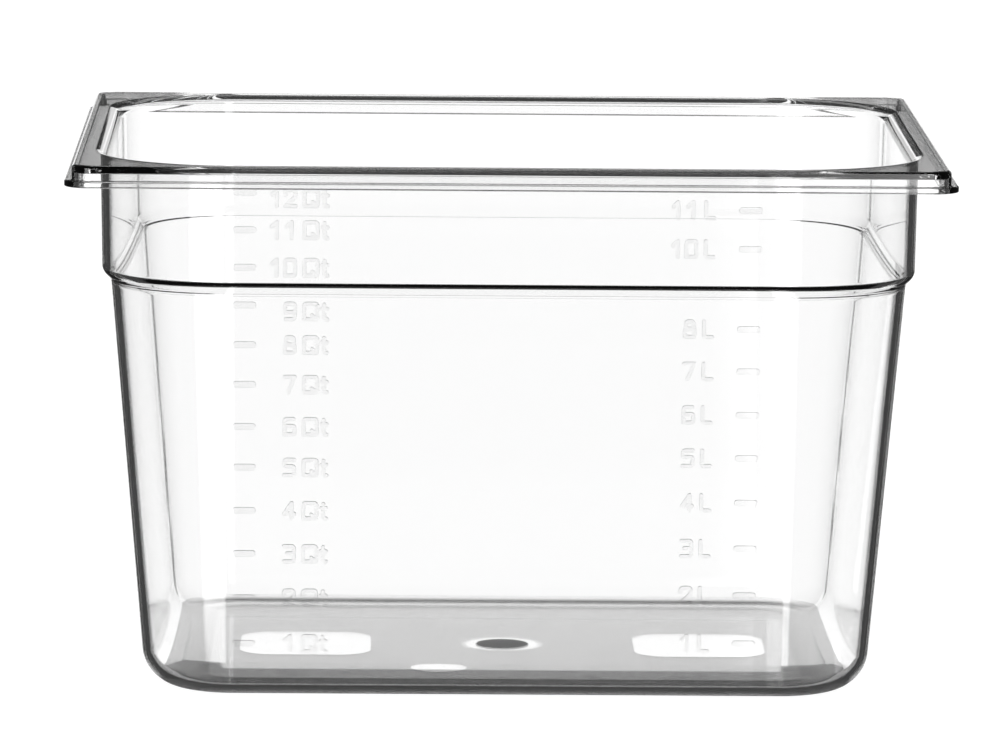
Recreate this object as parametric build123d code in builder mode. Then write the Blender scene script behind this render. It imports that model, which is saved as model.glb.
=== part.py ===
"""Clear polycarbonate food pan, half gastronorm size and 200 mm deep, with its moulded scales and base marks.

Millimetres, +Z up. The origin is the centre of the base, on the surface the pan stands on.
X runs along the long side and the graduated wall faces -Y.
"""

import os
from math import atan, pi, tan

from build123d import *

os.makedirs("parts", exist_ok=True)

# Overall size, over the lip of the rim.
length = 325.0
width = 265.0
height = 200.0

# Walls. Every plan outline is concentric with the collar's, so all the walls keep one thickness round the corners.
wall = 3.0
floor_thickness = 3.0
collar_inset_at_ends = 11.3
collar_inset_at_sides = 9.8
collar_corner_radius = 50.0
collar_draft_inset = 0.75
collar_depth = 44.4
step_height = 3.5
step_in = 3.3
body_draft_inset = 13.1

# Roundings of the walls. The step's are its outside radii: a crest where the collar turns in, then a root.
base_radius = 15.0
floor_radius = 12.0
step_crest_radius = 5.0
step_root_radius = 5.0
mouth_radius = 5.0

# Rim: a flat flange, a short riser that drops from its edge and a lip round the foot of the riser.
flange_thickness = 2.8
riser_thickness = 2.5
lip_overhang = 2.7
lip_drop = 5.5
lip_thickness = 2.3
lip_corner_radius = 10.0
flange_edge_radius = 1.4
lip_edge_radius = 0.7
groove_radius = 1.2

# Foot band: the middle of the underside is raised clear of the surface the pan stands on.
foot_band = 8.0
base_recess = 0.8

# Polished plaques, stamp disc and gate mark on the underside.
plaque_size = 50.0
plaque_corner_radius = 12.0
plaque_spacing = 150.0
base_relief = 0.3
stamp_diameter = 21.0
stamp_x = -24.7
stamp_edge_gap = 13.0
gate_diameter = 20.5

# Moulded scales on the outside of the front wall.
scale_relief = 0.35
tick_length = 8.5
tick_height = 2.4
quart_text_reach = 26.8
litre_tick_margin = 9.9
litre_text_gap = 8.4
shoulder_margin = 0.5
quart_volume = 946353.0
litre_volume = 1000000.0

# Characters, drawn with a round pen on a grid one unit wide and two units tall.
character_height = 7.2
digit_width = 5.0
letter_widths = {"Q": 6.2, "t": 3.4, "L": 4.4, " ": 1.2}
character_gap = 0.4
pen_width = 1.4
pen_corner_radius = 0.9
pen_paths = {
    "0": [[(0, 0), (1, 0), (1, 2), (0, 2), (0, 0)]],
    "1": [[(0.15, 1.45), (0.65, 2)], [(0.65, 2), (0.65, 0)]],
    "2": [[(0, 1.4), (0, 2), (1, 2), (1, 1.2), (0, 0)], [(0, 0), (1, 0)]],
    "3": [[(0, 2), (1, 2), (1, 1.05), (0.3, 1.05)], [(0.3, 1.05), (1, 1.05), (1, 0), (0, 0)]],
    "4": [[(0.75, 2), (0, 0.6)], [(0, 0.6), (1, 0.6)], [(0.75, 2), (0.75, 0)]],
    "5": [[(1, 2), (0, 2), (0, 1.15), (1, 1.15), (1, 0), (0, 0)]],
    "6": [[(0, 0), (1, 0), (1, 1.1), (0, 1.1), (0, 0)], [(0, 0.5), (0, 2), (0.9, 2)]],
    "7": [[(0, 2), (1, 2)], [(1, 2), (0.35, 0)]],
    "8": [[(0, 0), (1, 0), (1, 1.05), (0, 1.05), (0, 0)], [(0.1, 1.05), (0.9, 1.05), (0.9, 2), (0.1, 2), (0.1, 1.05)]],
    "9": [[(0, 0.9), (1, 0.9), (1, 2), (0, 2), (0, 0.9)], [(1, 1.5), (1, 0), (0.1, 0)]],
    "Q": [[(0, 0), (1, 0), (1, 2), (0, 2), (0, 0)], [(0.6, 0.5), (0.95, 0.05)]],
    "t": [[(0.35, 1.9), (0.35, 0), (0.9, 0)], [(0, 1.35), (0.9, 1.35)]],
    "L": [[(0, 2), (0, 0), (1, 0)]],
}

# Sizes that follow from the ones above.
collar_length = length - 2 * collar_inset_at_ends
collar_width = width - 2 * collar_inset_at_sides
collar_foot = height - collar_depth
body_top = collar_foot - step_height
body_top_inset = collar_draft_inset + step_in
base_inset = body_top_inset + body_draft_inset
step_bend = tan(atan(step_in / step_height) / 2)
inner_step_lift = wall * step_bend
flange_underside = height - flange_thickness
lip_top = height - lip_drop
lip_underside = lip_top - lip_thickness
riser_corner_radius = lip_corner_radius - lip_overhang
riser_inner_corner_radius = max(riser_corner_radius - riser_thickness, lip_edge_radius)
foot_band_inset = base_inset + base_radius + foot_band
stamp_y = foot_band_inset + stamp_edge_gap + stamp_diameter / 2 - collar_width / 2
flat_end = collar_length / 2 - collar_corner_radius
quart_tick_x = tick_length / 2 - flat_end
quart_text_end = quart_tick_x + tick_length / 2 + quart_text_reach
litre_tick_x = flat_end - litre_tick_margin - tick_length / 2
litre_text_end = litre_tick_x - tick_length / 2 - litre_text_gap


def outline(inset):
    """Draws the plan outline that lies this far inside the collar's."""
    RectangleRounded(collar_length - 2 * inset, collar_width - 2 * inset, collar_corner_radius - inset)


def rim_outline(inset, corner_radius):
    """Draws a rim outline this far inside the lip's edge."""
    RectangleRounded(length - 2 * inset, width - 2 * inset, corner_radius)


def stack(stations):
    """Joins the plan outlines at each (height, inset) station into one tapering solid."""
    for (low, low_inset), (high, high_inset) in zip(stations[:-1], stations[1:]):
        with BuildSketch(Plane.XY.offset(low)) as lower:
            outline(low_inset)
        with BuildSketch(Plane.XY.offset(high)) as upper:
            outline(high_inset)
        loft([lower.sketch.face(), upper.sketch.face()], ruled=True)


def edges_at(part, level):
    """Finds the plan edges of a solid at one height."""
    return part.edges().filter_by_position(Axis.Z, level - 0.01, level + 0.01)


def save(part, label):
    """Labels one piece and writes its STEP file."""
    part.label = label
    export_step(part, f"parts/{label}.step")


# The space inside the pan: a tapering well, the inside of the stacking step and the collar.
with BuildPart() as cavity:
    stack(
        [
            (floor_thickness, base_inset - body_draft_inset * floor_thickness / body_top + wall),
            (body_top + inner_step_lift, body_top_inset + wall),
            (collar_foot + inner_step_lift, collar_draft_inset + wall),
            (height, wall),
        ]
    )
    fillet(edges_at(cavity, collar_foot + inner_step_lift), step_crest_radius - wall)
    fillet(edges_at(cavity, body_top + inner_step_lift), step_root_radius + wall)
    fillet(edges_at(cavity, floor_thickness), floor_radius)

# The pan itself, one injection moulding: floor, drafted walls, stacking step, collar and rim.
with BuildPart() as pan_shell:
    stack(
        [
            (0, base_inset),
            (body_top, body_top_inset),
            (collar_foot, collar_draft_inset),
            (height, 0),
        ]
    )
    fillet(edges_at(pan_shell, collar_foot), step_crest_radius)
    fillet(edges_at(pan_shell, body_top), step_root_radius)
    fillet(edges_at(pan_shell, 0), base_radius)

    # Flange, with the collar rounded into its underside.
    with BuildSketch(Plane.XY.offset(flange_underside)):
        rim_outline(lip_overhang, riser_corner_radius)
    extrude(amount=flange_thickness)
    groove_edges = edges_at(pan_shell, flange_underside).filter_by(
        lambda edge: abs(edge.center().X) < collar_length / 2 + 1 and abs(edge.center().Y) < collar_width / 2 + 1
    )
    fillet(groove_edges, groove_radius)

    # Riser and lip, hanging from the edge of the flange and open underneath.
    with BuildSketch(Plane.XY.offset(lip_underside)):
        rim_outline(lip_overhang, riser_corner_radius)
        with BuildSketch(mode=Mode.PRIVATE) as riser_inside:
            rim_outline(lip_overhang + riser_thickness, riser_inner_corner_radius)
        add(riser_inside.sketch, mode=Mode.SUBTRACT)
    extrude(amount=flange_underside - lip_underside)
    with BuildSketch(Plane.XY.offset(lip_underside)):
        rim_outline(0, lip_corner_radius)
        add(riser_inside.sketch, mode=Mode.SUBTRACT)
    extrude(amount=lip_thickness)

    add(cavity.part, mode=Mode.SUBTRACT)

    # The mouth is rounded over, the flange's outer edge is eased and the lip's edges are softened.
    top_edges = edges_at(pan_shell, height).sort_by(SortBy.LENGTH)
    mouth_edges = top_edges.filter_by(
        lambda edge: abs(edge.center().X) < collar_length / 2 and abs(edge.center().Y) < collar_width / 2
    )
    fillet(mouth_edges, mouth_radius)
    outer_edges = edges_at(pan_shell, height).filter_by(
        lambda edge: abs(edge.center().X) > collar_length / 2 or abs(edge.center().Y) > collar_width / 2
    )
    fillet(outer_edges, flange_edge_radius)
    lip_face = pan_shell.faces().filter_by(Plane.XY).filter_by_position(Axis.Z, lip_top - 0.01, lip_top + 0.01)[0]
    fillet(lip_face.outer_wire().edges(), lip_edge_radius)

    # The middle of the underside stands clear of the table, inside the foot band.
    with BuildSketch(Plane.XY):
        outline(foot_band_inset)
    extrude(amount=base_recess, mode=Mode.SUBTRACT)
save(pan_shell.part, "pan_shell")

# Two polished plaques left and right of the middle of the underside.
with BuildPart() as left_base_plaque:
    with BuildSketch(Plane.XY.offset(base_recess - base_relief)):
        with Locations((-plaque_spacing / 2, 0)):
            RectangleRounded(plaque_size, plaque_size, plaque_corner_radius)
    extrude(amount=base_relief)
save(left_base_plaque.part, "left_base_plaque")

with BuildPart() as right_base_plaque:
    add(left_base_plaque.part.moved(Location((plaque_spacing, 0, 0))))
save(right_base_plaque.part, "right_base_plaque")

# Round stamp disc and the disc round the moulding gate, in the middle of the base.
with BuildPart() as stamp_disc:
    with BuildSketch(Plane.XY.offset(base_recess - base_relief)):
        with Locations((stamp_x, stamp_y)):
            Circle(stamp_diameter / 2)
    extrude(amount=base_relief)
save(stamp_disc.part, "stamp_disc")

with BuildPart() as gate_disc:
    with BuildSketch(Plane.XY.offset(base_recess - base_relief)):
        Circle(gate_diameter / 2)
    extrude(amount=base_relief)
save(gate_disc.part, "gate_disc")


def inner_inset(level):
    """Gives how far the inside wall lies inside the collar's outline at one height."""
    if level < body_top + inner_step_lift:
        return base_inset - body_draft_inset * level / body_top + wall
    return collar_draft_inset * (height - level) / (height - collar_foot) + wall


def inner_area(level):
    """Gives the area of the liquid's surface at one height."""
    inset = inner_inset(level)
    corner_loss = (4 - pi) * (collar_corner_radius - inset) ** 2
    return (collar_length - 2 * inset) * (collar_width - 2 * inset) - corner_loss


def filling_level(volume, slices=400):
    """Finds the height at which the pan holds this volume."""
    step = (height - floor_thickness) / slices
    level = floor_thickness
    floor_edge = 2 * (collar_length + collar_width - 4 * inner_inset(level))
    held = -(1 - pi / 4) * floor_radius**2 * floor_edge
    while held < volume and level < height:
        held += inner_area(level + step / 2) * step
        level += step
    return level


def outer_wall_plane(level):
    """Gives the plane of the front wall's outside at one height, seen from in front."""
    if level < body_top:
        inset = base_inset - body_draft_inset * level / body_top
        slope = body_draft_inset / body_top
    else:
        inset = collar_draft_inset * (height - level) / (height - collar_foot)
        slope = collar_draft_inset / (height - collar_foot)
    origin = Vector(0, inset - collar_width / 2, level)
    return Plane(origin=origin, x_dir=(1, 0, 0), z_dir=(0, -1, -slope))


def marks(volume):
    """Lists each whole measure whose tick fits on the wall, with its height and the flat stretch it lies on."""
    collar_start = collar_foot + step_crest_radius * step_bend + shoulder_margin
    stretches = [
        (base_radius, body_top - step_root_radius * step_bend - shoulder_margin),
        (collar_start, lip_underside - shoulder_margin),
    ]
    found = []
    number = 1
    level = filling_level(volume)
    while level < height:
        for low, high in stretches:
            if low + tick_height / 2 < level < high - tick_height / 2:
                found.append((number, level, low, high))
        number += 1
        level = filling_level(number * volume)
    return found


def ticks(volume, centre_x):
    """Raises one short bar on the front wall for each whole measure."""
    for _, level, _, _ in marks(volume):
        with BuildSketch(outer_wall_plane(level)) as tick:
            with Locations((centre_x, 0)):
                SlotOverall(tick_length, tick_height)
        extrude(tick.sketch, amount=scale_relief)


def character(letter, left):
    """Draws one character with its left edge at left and its middle on the sketch's axis."""
    pen_across = letter_widths.get(letter, digit_width) - pen_width
    pen_up = (character_height - pen_width) / 2
    for path in pen_paths.get(letter, []):
        points = [(left + pen_width / 2 + x * pen_across, (y - 1) * pen_up) for x, y in path]
        with BuildLine() as pen:
            if len(points) == 2:
                Line(*points)
            elif points[0] == points[-1]:
                FilletPolyline(*points[:-1], radius=pen_corner_radius, close=True)
            else:
                FilletPolyline(*points, radius=pen_corner_radius)
        trace(pen.line, line_width=pen_width)
        with Locations(points[0], points[-1]):
            Circle(pen_width / 2)


def numerals(volume, unit, text_end):
    """Raises the number and unit of each whole measure beside its tick, moved clear of the step and the rim."""
    for number, level, low, high in marks(volume):
        text_level = min(max(level, low + character_height / 2), high - character_height / 2)
        left = text_end
        with BuildSketch(outer_wall_plane(text_level)) as text:
            for letter in reversed(f"{number} {unit}"):
                left -= letter_widths.get(letter, digit_width)
                character(letter, left)
                left -= character_gap
        extrude(text.sketch, amount=scale_relief)


# Quart scale on the left of the front wall and litre scale on the right.
with BuildPart() as quart_ticks:
    ticks(quart_volume, quart_tick_x)
save(quart_ticks.part, "quart_ticks")

with BuildPart() as quart_numerals:
    numerals(quart_volume, "Qt", quart_text_end)
save(quart_numerals.part, "quart_numerals")

with BuildPart() as litre_ticks:
    ticks(litre_volume, litre_tick_x)
save(litre_ticks.part, "litre_ticks")

with BuildPart() as litre_numerals:
    numerals(litre_volume, "L", litre_text_end)
save(litre_numerals.part, "litre_numerals")
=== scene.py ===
import math

import bmesh
import bpy
from mathutils import Matrix, Vector


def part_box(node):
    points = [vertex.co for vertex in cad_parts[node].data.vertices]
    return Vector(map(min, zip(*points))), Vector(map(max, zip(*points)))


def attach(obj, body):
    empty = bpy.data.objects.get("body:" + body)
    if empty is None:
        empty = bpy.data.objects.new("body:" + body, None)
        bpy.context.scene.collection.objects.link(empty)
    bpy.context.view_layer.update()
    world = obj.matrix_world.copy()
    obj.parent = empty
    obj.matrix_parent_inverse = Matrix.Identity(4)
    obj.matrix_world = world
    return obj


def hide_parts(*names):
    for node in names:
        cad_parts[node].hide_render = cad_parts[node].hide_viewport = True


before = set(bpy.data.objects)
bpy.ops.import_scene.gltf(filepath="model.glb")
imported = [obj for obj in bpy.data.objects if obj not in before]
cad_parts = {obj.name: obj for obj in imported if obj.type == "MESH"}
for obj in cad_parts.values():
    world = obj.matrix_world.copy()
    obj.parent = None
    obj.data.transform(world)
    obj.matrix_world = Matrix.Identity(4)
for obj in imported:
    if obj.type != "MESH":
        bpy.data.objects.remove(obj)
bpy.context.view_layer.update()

# Pan shell: the tray itself, one injection moulding in clear polycarbonate. The cross-section runs from
# the recessed middle of the underside, up the outside, over the rim and down the inside to the floor, and
# is carried round the pan's rounded-rectangle plan by a node tree.
half_length, half_width, pan_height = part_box("pan_shell")[1]
wall = 0.003
floor_thickness = 0.003
floor_radius = 0.012
floor_run_in = 0.014

# Foot and base: a narrow band to stand on, round a shallow recess.
foot_band = 0.008
base_recess = 0.0008
base_radius = 0.015

# Collar, stacking step and the tapering body below it.
collar_inset_at_ends = 0.0113
collar_inset_at_sides = 0.0098
collar_corner_radius = 0.050
collar_draft_inset = 0.00075
collar_depth = 0.0444
step_height = 0.0035
step_in = 0.0033
step_radius = 0.005
inner_step_lift = 0.0012
inner_crest_radius = 0.0005
inner_root_radius = 0.0015
body_draft_inset = 0.0131

# Rim: a flat flange, a riser that drops from its edge and a lip round the riser's foot.
mouth_radius = 0.005
flange_thickness = 0.0028
flange_edge_radius = 0.0014
flange_edge_inset = 0.0062
flange_split = -0.0026
groove_radius = 0.0012
riser_thickness = 0.0025
riser_foot_radius = 0.0004
lip_overhang = 0.0027
lip_drop = 0.0055
lip_thickness = 0.0023
lip_corner_radius = 0.010
lip_top_radius = 0.0007
lip_under_radius = 0.0003

collar_foot = pan_height - collar_depth
body_top = collar_foot - step_height
body_top_inset = collar_draft_inset + step_in
base_inset = body_top_inset + body_draft_inset
foot_band_inset = base_inset + base_radius + foot_band
floor_inset = base_inset - body_draft_inset * floor_thickness / body_top + wall
flange_underside = pan_height - flange_thickness
groove_inset = collar_draft_inset * flange_thickness / collar_depth
lip_top = pan_height - lip_drop
lip_underside = lip_top - lip_thickness
riser_inside = lip_overhang + riser_thickness

# Each corner of the section: how far in from its outline, which outline, how high, and its rounding.
COLLAR, LIP = 0.0, 1.0
section = [
    (foot_band_inset, COLLAR, base_recess, 0),
    (foot_band_inset, COLLAR, 0, 0),
    (base_inset, COLLAR, 0, base_radius),
    (body_top_inset, COLLAR, body_top, step_radius),
    (collar_draft_inset, COLLAR, collar_foot, step_radius),
    (groove_inset, COLLAR, flange_underside, groove_radius),
    (flange_split, COLLAR, flange_underside, 0),
    (riser_inside, LIP, flange_underside, lip_under_radius),
    (riser_inside, LIP, lip_underside, lip_under_radius),
    (0, LIP, lip_underside, lip_under_radius),
    (0, LIP, lip_top, lip_top_radius),
    (lip_overhang, LIP, lip_top, riser_foot_radius),
    (lip_overhang, LIP, pan_height, flange_edge_radius),
    (flange_edge_inset, LIP, pan_height, 0),
    (flange_split, COLLAR, pan_height, 0),
    (wall, COLLAR, pan_height, mouth_radius),
    (collar_draft_inset + wall, COLLAR, collar_foot + inner_step_lift, inner_crest_radius),
    (body_top_inset + wall, COLLAR, body_top + inner_step_lift, inner_root_radius),
    (floor_inset, COLLAR, floor_thickness, floor_radius),
    (floor_inset + floor_run_in, COLLAR, floor_thickness, 0),
]


def rounded(corners, arc_step=math.radians(5), least_steps=4):
    """Rounds each corner of the section with its own radius."""
    smooth = []
    for index, (inset, ring, level, radius) in enumerate(corners):
        if not radius:
            smooth.append((inset, ring, level))
            continue
        here = Vector((inset, level))
        before = Vector((corners[index - 1][0], corners[index - 1][2]))
        after = Vector((corners[index + 1][0], corners[index + 1][2]))
        if corners[index - 1][1] != ring:
            # The flange arrives from the other outline, so it comes straight from the inside.
            before = Vector((inset + 1, level))
        into = (before - here).normalized()
        out = (after - here).normalized()
        opening = into.angle(out)
        middle = here + (into + out).normalized() * radius / math.sin(opening / 2)
        start = here + into * radius / math.tan(opening / 2) - middle
        turn = math.pi - opening
        side = 1 if into.x * out.y - into.y * out.x < 0 else -1
        steps = max(least_steps, math.ceil(turn / arc_step))
        for step in range(steps + 1):
            spoke = Matrix.Rotation(side * turn * step / steps, 2) @ start
            smooth.append((middle.x + spoke.x, ring, middle.y + spoke.y))
    return smooth


def new_tree(name, sizes):
    """Starts a geometry node tree with a named length or count input for each size."""
    tree = bpy.data.node_groups.new(name, "GeometryNodeTree")
    tree.interface.new_socket("Geometry", in_out="INPUT", socket_type="NodeSocketGeometry")
    for label, value in sizes.items():
        kind = "NodeSocketInt" if isinstance(value, int) else "NodeSocketFloat"
        tree.interface.new_socket(label, in_out="INPUT", socket_type=kind)
    tree.interface.new_socket("Material", in_out="INPUT", socket_type="NodeSocketMaterial")
    tree.interface.new_socket("Geometry", in_out="OUTPUT", socket_type="NodeSocketGeometry")
    return tree


def math_node(tree, operation, *values):
    """Adds one arithmetic node to a node tree and gives its result."""
    node = tree.nodes.new("ShaderNodeMath")
    node.operation = operation
    for socket, value in zip(node.inputs, values):
        if isinstance(value, (int, float)):
            socket.default_value = value
        else:
            tree.links.new(value, socket)
    return node.outputs[0]


# The section as a loose chain of points: inset, which outline it belongs to, and height.
chain = bpy.data.meshes.new("pan section")
points = rounded(section)
chain.from_pydata(points, [(i, i + 1) for i in range(len(points) - 1)], [])
pan_shell = bpy.data.objects.new("clear_pan", chain)
bpy.context.scene.collection.objects.link(pan_shell)

pan_sizes = {
    "Section points": len(points),
    "Corner steps": 48,
    "Collar half length": half_length - collar_inset_at_ends,
    "Collar half width": half_width - collar_inset_at_sides,
    "Collar corner radius": collar_corner_radius,
    "Lip half length": half_length,
    "Lip half width": half_width,
    "Lip corner radius": lip_corner_radius,
}
corner_count = 4
quarter_turn = math.pi / 2
weld_distance = 0.000002
pan_tree = new_tree("pan round its plan", pan_sizes)
group_in = pan_tree.nodes.new("NodeGroupInput")
group_out = pan_tree.nodes.new("NodeGroupOutput")
sizes_in = {socket.name: socket for socket in group_in.outputs}

# One grid row per section point, with one column for each place round the plan.
arcs = math_node(pan_tree, "MULTIPLY", sizes_in["Corner steps"], corner_count)
columns = math_node(pan_tree, "ADD", arcs, corner_count)
grid = pan_tree.nodes.new("GeometryNodeMeshGrid")
pan_tree.links.new(math_node(pan_tree, "ADD", columns, 1), grid.inputs["Vertices X"])
pan_tree.links.new(sizes_in["Section points"], grid.inputs["Vertices Y"])
index = pan_tree.nodes.new("GeometryNodeInputIndex").outputs[0]
row = math_node(pan_tree, "MODULO", index, sizes_in["Section points"])
column = math_node(pan_tree, "FLOOR", math_node(pan_tree, "DIVIDE", index, sizes_in["Section points"]))

# The section point of this row.
sample = pan_tree.nodes.new("GeometryNodeSampleIndex")
sample.data_type = "FLOAT_VECTOR"
position = pan_tree.nodes.new("GeometryNodeInputPosition")
pan_tree.links.new(sizes_in["Geometry"], sample.inputs["Geometry"])
pan_tree.links.new(position.outputs[0], sample.inputs["Value"])
pan_tree.links.new(row, sample.inputs["Index"])
parts = pan_tree.nodes.new("ShaderNodeSeparateXYZ")
pan_tree.links.new(sample.outputs["Value"], parts.inputs[0])
inset, ring, level = parts.outputs

# Which quarter of the plan this column is in, and how far round that corner.
per_corner = math_node(pan_tree, "ADD", sizes_in["Corner steps"], 1)
wrapped = math_node(pan_tree, "MODULO", column, columns)
quarter = math_node(pan_tree, "FLOOR", math_node(pan_tree, "DIVIDE", wrapped, per_corner))
in_corner = math_node(pan_tree, "MODULO", wrapped, per_corner)
along = math_node(pan_tree, "DIVIDE", in_corner, sizes_in["Corner steps"])
angle = math_node(pan_tree, "MULTIPLY", math_node(pan_tree, "ADD", quarter, along), quarter_turn)
middle_angle = math_node(pan_tree, "MULTIPLY", math_node(pan_tree, "ADD", quarter, 0.5), quarter_turn)
side_x = math_node(pan_tree, "SIGN", math_node(pan_tree, "COSINE", middle_angle))
side_y = math_node(pan_tree, "SIGN", math_node(pan_tree, "SINE", middle_angle))


def blended(collar_name, lip_name):
    """Mixes a collar size and a lip size by the outline this point belongs to."""
    mix = pan_tree.nodes.new("ShaderNodeMix")
    pan_tree.links.new(ring, mix.inputs["Factor"])
    pan_tree.links.new(sizes_in[collar_name], mix.inputs["A"])
    pan_tree.links.new(sizes_in[lip_name], mix.inputs["B"])
    return math_node(pan_tree, "SUBTRACT", mix.outputs["Result"], inset)


radius = blended("Collar corner radius", "Lip corner radius")
reach_x = math_node(pan_tree, "SUBTRACT", blended("Collar half length", "Lip half length"), radius)
reach_y = math_node(pan_tree, "SUBTRACT", blended("Collar half width", "Lip half width"), radius)
place = pan_tree.nodes.new("ShaderNodeCombineXYZ")
across = math_node(pan_tree, "MULTIPLY", radius, math_node(pan_tree, "COSINE", angle))
away = math_node(pan_tree, "MULTIPLY", radius, math_node(pan_tree, "SINE", angle))
pan_tree.links.new(math_node(pan_tree, "MULTIPLY_ADD", side_x, reach_x, across), place.inputs["X"])
pan_tree.links.new(math_node(pan_tree, "MULTIPLY_ADD", side_y, reach_y, away), place.inputs["Y"])
pan_tree.links.new(level, place.inputs["Z"])
set_position = pan_tree.nodes.new("GeometryNodeSetPosition")
pan_tree.links.new(grid.outputs["Mesh"], set_position.inputs["Geometry"])
pan_tree.links.new(place.outputs[0], set_position.inputs["Position"])
merge = pan_tree.nodes.new("GeometryNodeMergeByDistance")
merge.inputs["Distance"].default_value = weld_distance
pan_tree.links.new(set_position.outputs[0], merge.inputs["Geometry"])
smooth_faces = pan_tree.nodes.new("GeometryNodeSetShadeSmooth")
pan_tree.links.new(merge.outputs[0], smooth_faces.inputs["Geometry"])
realize = pan_tree.nodes.new("GeometryNodeRealizeInstances")
pan_tree.links.new(smooth_faces.outputs[0], realize.inputs[0])
paint = pan_tree.nodes.new("GeometryNodeSetMaterial")
pan_tree.links.new(realize.outputs[0], paint.inputs["Geometry"])
pan_tree.links.new(sizes_in["Material"], paint.inputs["Material"])
pan_tree.links.new(paint.outputs[0], group_out.inputs[0])


def ramp(tree, value, start, end, low=0.0, high=1.0):
    """Eases a value from low to high as it goes from start to end."""
    node = tree.nodes.new("ShaderNodeMapRange")
    node.interpolation_type = "SMOOTHSTEP"
    settings = {"Value": value, "From Min": start, "From Max": end, "To Min": low, "To Max": high}
    for label, given in settings.items():
        if isinstance(given, (int, float)):
            node.inputs[label].default_value = given
        else:
            tree.links.new(given, node.inputs[label])
    return node.outputs[0]


def new_group(name, numbers, results):
    """Starts a shader node group with a position, named number inputs and named results."""
    group = bpy.data.node_groups.new(name, "ShaderNodeTree")
    group.interface.new_socket("Position", in_out="INPUT", socket_type="NodeSocketVector")
    for label in numbers:
        group.interface.new_socket(label, in_out="INPUT", socket_type="NodeSocketFloat")
    for label in results:
        group.interface.new_socket(label, in_out="OUTPUT", socket_type="NodeSocketFloat")
    return group, group.nodes.new("NodeGroupInput").outputs, group.nodes.new("NodeGroupOutput").inputs


def noise(tree, where, grain_size, detail):
    """Adds a noise whose grains are about this many metres across."""
    node = tree.nodes.new("ShaderNodeTexNoise")
    node.inputs["Scale"].default_value = 1 / grain_size
    node.inputs["Detail"].default_value = detail
    tree.links.new(where, node.inputs["Vector"])
    return node.outputs[0]


# Moulded surface: the mould's slow ripple, the spark-eroded grain where it is frosted, and light scuffs
# from handling.
ripple_length = 0.045
grain_length = 0.0009
scuff_length = 0.03
scuffs_start, scuffs_full = 0.55, 0.75
surface_group, surface_in, surface_out = new_group(
    "moulded surface",
    ["Frost", "Frost roughness", "Grain depth", "Ripple depth", "Scuff roughness"],
    ["Roughness", "Height"],
)
slow_noise = noise(surface_group, surface_in["Position"], ripple_length, 0)
ripple = math_node(surface_group, "MULTIPLY", slow_noise, surface_in["Ripple depth"])
fine_noise = noise(surface_group, surface_in["Position"], grain_length, 2)
grain = math_node(surface_group, "MULTIPLY", fine_noise, surface_in["Grain depth"])
frosted_grain = math_node(surface_group, "MULTIPLY", grain, surface_in["Frost"])
surface_group.links.new(math_node(surface_group, "ADD", ripple, frosted_grain), surface_out["Height"])
wear_noise = noise(surface_group, surface_in["Position"], scuff_length, 6)
scuffs = ramp(surface_group, wear_noise, scuffs_start, scuffs_full)
haze = math_node(surface_group, "MULTIPLY", scuffs, surface_in["Scuff roughness"])
frost = math_node(surface_group, "MULTIPLY", surface_in["Frost"], surface_in["Frost roughness"])
surface_group.links.new(math_node(surface_group, "ADD", haze, frost), surface_out["Roughness"])


def clear_plastic(name, frost=0.0, frost_roughness=0.0, grain_depth=0.0, clearness_and_painted_shade=1.0):
    """Makes a clear polycarbonate, and gives the material with the node of its moulded surface."""
    material = bpy.data.materials.new(name)
    material.use_nodes = True
    tree = material.node_tree
    shader = tree.nodes["Principled BSDF"]
    # A base colour below one is painted shade, not a tint of the plastic; at one the plastic is plain clear.
    shader.inputs["Base Color"].default_value = (clearness_and_painted_shade, clearness_and_painted_shade, clearness_and_painted_shade, 1)
    shader.inputs["IOR"].default_value = 1.585
    shader.inputs["Transmission Weight"].default_value = 1.0
    surface = tree.nodes.new("ShaderNodeGroup")
    surface.node_tree = surface_group
    tree.links.new(tree.nodes.new("ShaderNodeTexCoord").outputs["Object"], surface.inputs["Position"])
    surface.inputs["Frost"].default_value = frost
    surface.inputs["Frost roughness"].default_value = frost_roughness
    surface.inputs["Grain depth"].default_value = grain_depth
    surface.inputs["Ripple depth"].default_value = 0.000012
    surface.inputs["Scuff roughness"].default_value = 0.02
    tree.links.new(surface.outputs["Roughness"], shader.inputs["Roughness"])
    bump = tree.nodes.new("ShaderNodeBump")
    bump.inputs["Distance"].default_value = 1.0
    tree.links.new(surface.outputs["Height"], bump.inputs["Height"])
    tree.links.new(bump.outputs[0], shader.inputs["Normal"])
    return material, surface


# Polished patch on the frosted underside: one where the point lies inside a rounded square, easing off at
# its edge.
patch, patch_in, patch_out = new_group(
    "polished patch",
    ["Centre X", "Centre Y", "Half size", "Corner radius", "Edge"],
    ["Polished"],
)
patch_split = patch.nodes.new("ShaderNodeSeparateXYZ")
patch.links.new(patch_in["Position"], patch_split.inputs[0])
straight = math_node(patch, "SUBTRACT", patch_in["Half size"], patch_in["Corner radius"])
beyond = []
for axis, centre in (("X", "Centre X"), ("Y", "Centre Y")):
    away_from = math_node(patch, "SUBTRACT", patch_split.outputs[axis], patch_in[centre])
    past = math_node(patch, "SUBTRACT", math_node(patch, "ABSOLUTE", away_from), straight)
    beyond.append(math_node(patch, "POWER", math_node(patch, "MAXIMUM", past, 0.0), 2.0))
distance = math_node(patch, "SQRT", math_node(patch, "ADD", *beyond))
rim_of_patch = math_node(patch, "SUBTRACT", distance, patch_in["Corner radius"])
patch.links.new(ramp(patch, rim_of_patch, patch_in["Edge"], 0.0), patch_out["Polished"])

# The underside and the lower part of the base's rounding are frosted, apart from the polished patches.
frost_gap = 0.0001
clear, clear_surface = clear_plastic("clear polycarbonate", frost_roughness=0.24, grain_depth=0.00003)
clear_tree = clear.node_tree
where = clear_tree.nodes.new("ShaderNodeTexCoord").outputs["Object"]
split = clear_tree.nodes.new("ShaderNodeSeparateXYZ")
clear_tree.links.new(where, split.inputs[0])
underside = math_node(clear_tree, "LESS_THAN", split.outputs["Z"], floor_thickness - frost_gap)


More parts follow.
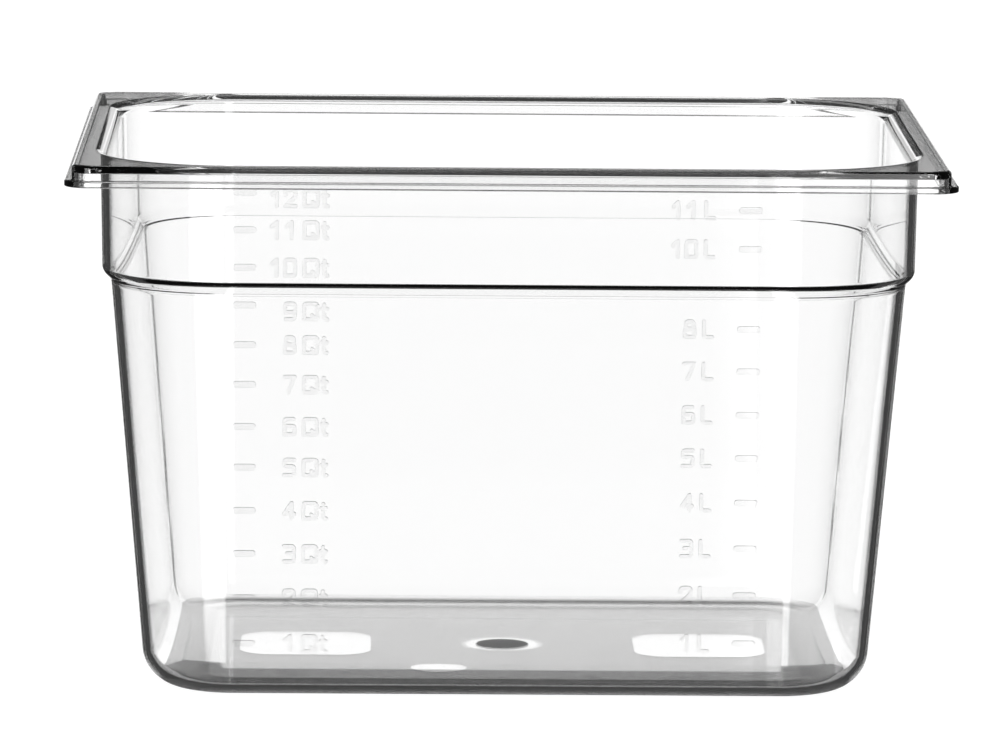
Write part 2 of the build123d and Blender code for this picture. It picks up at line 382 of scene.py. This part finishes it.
def patch_mask(node_name, corner_radius, margin, edge):
    """Gives one inside a mark's outline grown by a margin, easing to nothing at its edge."""
    patch_low, patch_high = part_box(node_name)
    mask = clear_tree.nodes.new("ShaderNodeGroup")
    mask.node_tree = patch
    clear_tree.links.new(where, mask.inputs["Position"])
    mask.inputs["Centre X"].default_value = (patch_low.x + patch_high.x) / 2
    mask.inputs["Centre Y"].default_value = (patch_low.y + patch_high.y) / 2
    mask.inputs["Half size"].default_value = (patch_high.x - patch_low.x) / 2 + margin
    mask.inputs["Corner radius"].default_value = corner_radius + margin
    mask.inputs["Edge"].default_value = edge
    return mask.outputs[0]


plaque_corner_radius = 0.012
stamp_radius = 0.0105
gate_radius = 0.01025
polished = patch_mask("gate_disc", gate_radius, margin=0.001, edge=0.006)
for node_name, corner_radius in (
    ("left_base_plaque", plaque_corner_radius),
    ("right_base_plaque", plaque_corner_radius),
    ("stamp_disc", stamp_radius),
):
    crisp = patch_mask(node_name, corner_radius, margin=0.0, edge=0.0002)
    polished = math_node(clear_tree, "MAXIMUM", crisp, polished)
dull = math_node(clear_tree, "SUBTRACT", 1.0, polished)
frosted = math_node(clear_tree, "MULTIPLY", underside, dull)

# Over the gate the plastic is torn and rough on both faces of the floor, and its colour is darkened there to
# half as painted shade.
torn_frost = 1.5
painted_gate_shade = 0.5
torn = patch_mask("gate_disc", gate_radius, margin=-0.0008, edge=0.0008)
all_frost = math_node(clear_tree, "MULTIPLY_ADD", torn, torn_frost, frosted)
clear_tree.links.new(all_frost, clear_surface.inputs["Frost"])
# The darker base colour over the gate is painted shade for the dark spot there.
painted_gate_shade_colour = ramp(clear_tree, torn, 0.0, 1.0, 1.0, painted_gate_shade)
clear_tree.links.new(painted_gate_shade_colour, clear_tree.nodes["Principled BSDF"].inputs["Base Color"])

carry = pan_shell.modifiers.new("carry round", "NODES")
carry.node_group = pan_tree
for item in pan_tree.interface.items_tree:
    if item.in_out == "INPUT" and item.name in pan_sizes:
        carry[item.identifier] = pan_sizes[item.name]
    if item.in_out == "INPUT" and item.name == "Material":
        carry[item.identifier] = clear


def baked(obj):
    """Turns a node-made piece into a plain mesh and drops its modifiers."""
    solid = bpy.data.meshes.new_from_object(obj.evaluated_get(bpy.context.evaluated_depsgraph_get()))
    obj.modifiers.clear()
    obj.data = solid
    return solid


# Close the underside and the floor with one flat face each, and let the big flat walls set the shading.
solid = baked(pan_shell)
work = bmesh.new()
work.from_mesh(solid)
bmesh.ops.holes_fill(work, edges=[e for e in work.edges if e.is_boundary], sides=0)
bmesh.ops.recalc_face_normals(work, faces=work.faces)
for face in work.faces:
    face.smooth = True
work.to_mesh(solid)
work.free()
weight = pan_shell.modifiers.new("flat walls first", "WEIGHTED_NORMAL")
weight.weight = 100
baked(pan_shell)
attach(pan_shell, "root")
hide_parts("pan_shell")

# Scale marks: the ticks and characters of the quart and litre scales, raised from the outer face of the
# front wall. They are the same clear plastic, moulded with the pan, with rounded outer edges.
front = Vector((0, -1, 0))
scale_edge_radius = 0.0001


def raised_mark(name, outward, edge_radius, material):
    """Copies a mark, rounds the edges of its outer face and lifts it a hair off the wall behind it."""
    lift = 0.00002
    smallest_edge = 0.00003
    flat_angle = math.radians(2)
    faces_out, squarely = 0.9, 0.5
    rounding_face_area = 0.0000002
    work = bmesh.new()
    work.from_mesh(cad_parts[name].data)
    bmesh.ops.remove_doubles(work, verts=work.verts, dist=smallest_edge)
    bmesh.ops.dissolve_limit(work, angle_limit=flat_angle, verts=work.verts, edges=work.edges)
    outer_edges = []
    for edge in work.edges:
        if len(edge.link_faces) == 2:
            facing = sorted(face.normal.dot(outward) for face in edge.link_faces)
            if facing[1] > faces_out and abs(facing[0]) < squarely:
                outer_edges.append(edge)
    bmesh.ops.bevel(
        work,
        geom=outer_edges,
        offset=edge_radius,
        offset_type="OFFSET",
        segments=4,
        profile=0.5,
        affect="EDGES",
        clamp_overlap=False,
    )
    bmesh.ops.translate(work, verts=work.verts, vec=outward * lift)
    for face in work.faces:
        face.smooth = face.calc_area() < rounding_face_area
    data = bpy.data.meshes.new("clear_" + name)
    work.to_mesh(data)
    work.free()
    data.materials.append(material)
    mark = bpy.data.objects.new("clear_" + name, data)
    bpy.context.scene.collection.objects.link(mark)
    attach(mark, "root")
    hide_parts(name)


scale_plastic, _ = clear_plastic("clear scale marks")
for scale in ("quart_ticks", "quart_numerals", "litre_ticks", "litre_numerals"):
    raised_mark(scale, front, scale_edge_radius, scale_plastic)

# Base marks: two rounded square plaques and a small round stamp, raised from the recess of the underside.
# They are polished in the mould, so they show clear in the frosted base.
down = Vector((0, 0, -1))
base_mark_edge_radius = 0.0002
patch_plastic, _ = clear_plastic("polished base marks")
for base_mark in ("left_base_plaque", "right_base_plaque", "stamp_disc"):
    raised_mark(base_mark, down, base_mark_edge_radius, patch_plastic)

# Gate mark: the round scar in the middle of the underside where the plastic was fed in and broken off.
# It is the same plastic, but torn, so it is rough, and its colour is darkened to half as painted shade.
gate_plastic, _ = clear_plastic(
    "torn gate mark with painted shade", frost=1.0, frost_roughness=0.6, grain_depth=0.00012, clearness_and_painted_shade=0.5
)
raised_mark("gate_disc", down, base_mark_edge_radius, gate_plastic)

# Table: a plain white top that the pan stands on. Its own glow evens out the pan's shadow, and it is laid
# a hair low so that the foot doesn't share its surface. The clear plastic doesn't show it.
table_reach = 30
table_drop = 0.0002
table_white = 0.12
table_glow = 0.98
floor_data = bpy.data.meshes.new("studio floor")
table_corners = [
    (-table_reach, -table_reach, 0),
    (table_reach, -table_reach, 0),
    (table_reach, table_reach, 0),
    (-table_reach, table_reach, 0),
]
floor_data.from_pydata(table_corners, [], [(0, 1, 2, 3)])
studio_floor = bpy.data.objects.new("studio_floor", floor_data)
bpy.context.scene.collection.objects.link(studio_floor)
white = bpy.data.materials.new("white table")
white.use_nodes = True
white_shader = white.node_tree.nodes["Principled BSDF"]
white_shader.inputs["Base Color"].default_value = (table_white, table_white, table_white, 1)
white_shader.inputs["Roughness"].default_value = 1.0
white_shader.inputs["Specular IOR Level"].default_value = 0.0
white_shader.inputs["Emission Color"].default_value = (1, 1, 1, 1)
white_shader.inputs["Emission Strength"].default_value = table_glow
floor_data.materials.append(white)
studio_floor.location = (0, 0, -table_drop)
studio_floor.visible_glossy = False
studio_floor.visible_transmission = False

# Room: white walls to the eye and to the table, but nearly dark to what the clear plastic bends or
# mirrors, so that only the panels light it.
room_glow = 1.03
dark_level = 0.05
world = bpy.data.worlds.new("white studio")
bpy.context.scene.world = world
world.use_nodes = True
sky = world.node_tree
seen_by = sky.nodes.new("ShaderNodeLightPath").outputs
direct = math_node(sky, "MAXIMUM", seen_by["Is Camera Ray"], seen_by["Is Diffuse Ray"])
sky.nodes["Background"].inputs["Color"].default_value = (1, 1, 1, 1)
sky.links.new(ramp(sky, direct, 0.0, 1.0, dark_level, room_glow), sky.nodes["Background"].inputs["Strength"])

# Camera: a long lens in front of the pan and a little above its rim, turned slightly to the right.
pitch, yaw, roll = 0.14087, 0.01644, 0.00909
camera_place = (-0.04931, -2.89588, 0.51817)
camera_data = bpy.data.cameras.new("camera")
camera = bpy.data.objects.new("camera", camera_data)
bpy.context.scene.collection.objects.link(camera)
forward = Vector((math.sin(yaw) * math.cos(pitch), math.cos(yaw) * math.cos(pitch), -math.sin(pitch)))
level_right = Vector((math.cos(yaw), -math.sin(yaw), 0))
level_up = level_right.cross(forward)
right = level_right * math.cos(roll) + level_up * math.sin(roll)
up = level_up * math.cos(roll) - level_right * math.sin(roll)
turn = Matrix((right, up, -forward)).transposed()
camera.matrix_world = Matrix.Translation(camera_place) @ turn.to_4x4()
camera_data.lens = 276.77
camera_data.sensor_width = 36
camera_data.clip_end = 100
bpy.context.scene.camera = camera

# Light stand: it stands at the pan's middle and keeps square to the camera, so that every panel on it
# keeps its place behind or in front of the pan whichever way the pan is seen.
stand = bpy.data.objects.new("light_stand", None)
bpy.context.scene.collection.objects.link(stand)
stand.location = (0, 0, pan_height / 2)
follow = stand.constraints.new("COPY_ROTATION")
follow.target = camera


def light_panel(name, behind, across, upright, brightness, fade):
    """Hangs a glowing panel on the stand, this far behind the pan, that fades out towards its edges."""
    material = bpy.data.materials.new(name)
    material.use_nodes = True
    tree = material.node_tree
    tree.nodes.clear()
    place = tree.nodes.new("ShaderNodeSeparateXYZ")
    tree.links.new(tree.nodes.new("ShaderNodeTexCoord").outputs["Object"], place.inputs[0])
    fades = []
    for axis, (start, end) in (("X", across), ("Y", upright)):
        from_start = math_node(tree, "SUBTRACT", place.outputs[axis], start)
        from_end = math_node(tree, "SUBTRACT", end, place.outputs[axis])
        fades.append(ramp(tree, math_node(tree, "MINIMUM", from_start, from_end), 0.0, fade))
    glow = tree.nodes.new("ShaderNodeEmission")
    glow.inputs["Strength"].default_value = brightness
    mixed = tree.nodes.new("ShaderNodeMixShader")
    tree.links.new(math_node(tree, "MULTIPLY", *fades), mixed.inputs["Fac"])
    tree.links.new(tree.nodes.new("ShaderNodeBsdfTransparent").outputs[0], mixed.inputs[1])
    tree.links.new(glow.outputs[0], mixed.inputs[2])
    tree.links.new(mixed.outputs[0], tree.nodes.new("ShaderNodeOutputMaterial").inputs["Surface"])
    left, right = across
    bottom, top = upright
    corners = [(left, bottom, -behind), (right, bottom, -behind), (right, top, -behind), (left, top, -behind)]
    data = bpy.data.meshes.new(name)
    data.from_pydata(corners, [], [(0, 1, 2, 3)])
    data.materials.append(material)
    panel = bpy.data.objects.new(name, data)
    bpy.context.scene.collection.objects.link(panel)
    panel.parent = stand
    panel.visible_camera = False
    panel.visible_diffuse = False
    panel.visible_shadow = False


# Backdrop: lit panels behind the pan that light it from behind and leave the bent edges dark. A narrower
# one rises above the wide one for the back of the rim, and a box hangs above them both.
backdrop_glow = 1.18
top_box_glow = 1.25
light_panel("backdrop_panel", 1.5, (-0.51, 0.51), (-0.42, 0.475), backdrop_glow, fade=0.09)
light_panel("backdrop_rise", 1.48, (-0.19, 0.19), (0.30, 0.49), backdrop_glow, fade=0.015)
light_panel("top_box", 0.6, (-0.25, 0.25), (0.56, 2.2), top_box_glow, fade=0.05)

# Soft boxes: two tall lights in front, which show as upright white bars in the rounded corners.
soft_box_glow = 3.2
soft_box_place = -1.5
light_panel("left_soft_box", soft_box_place, (-1.28, -0.27), (-1.0, 1.5), soft_box_glow, fade=0.12)
light_panel("right_soft_box", soft_box_place, (0.17, 0.50), (-1.0, 1.5), soft_box_glow, fade=0.10)

# Light passes many faces of the pan before it leaves, so it is followed for long.
scene = bpy.context.scene
scene.view_settings.view_transform = "Standard"
scene.cycles.max_bounces = 32
scene.cycles.transmission_bounces = 32
scene.cycles.glossy_bounces = 16

bpy.context.view_layer.update()
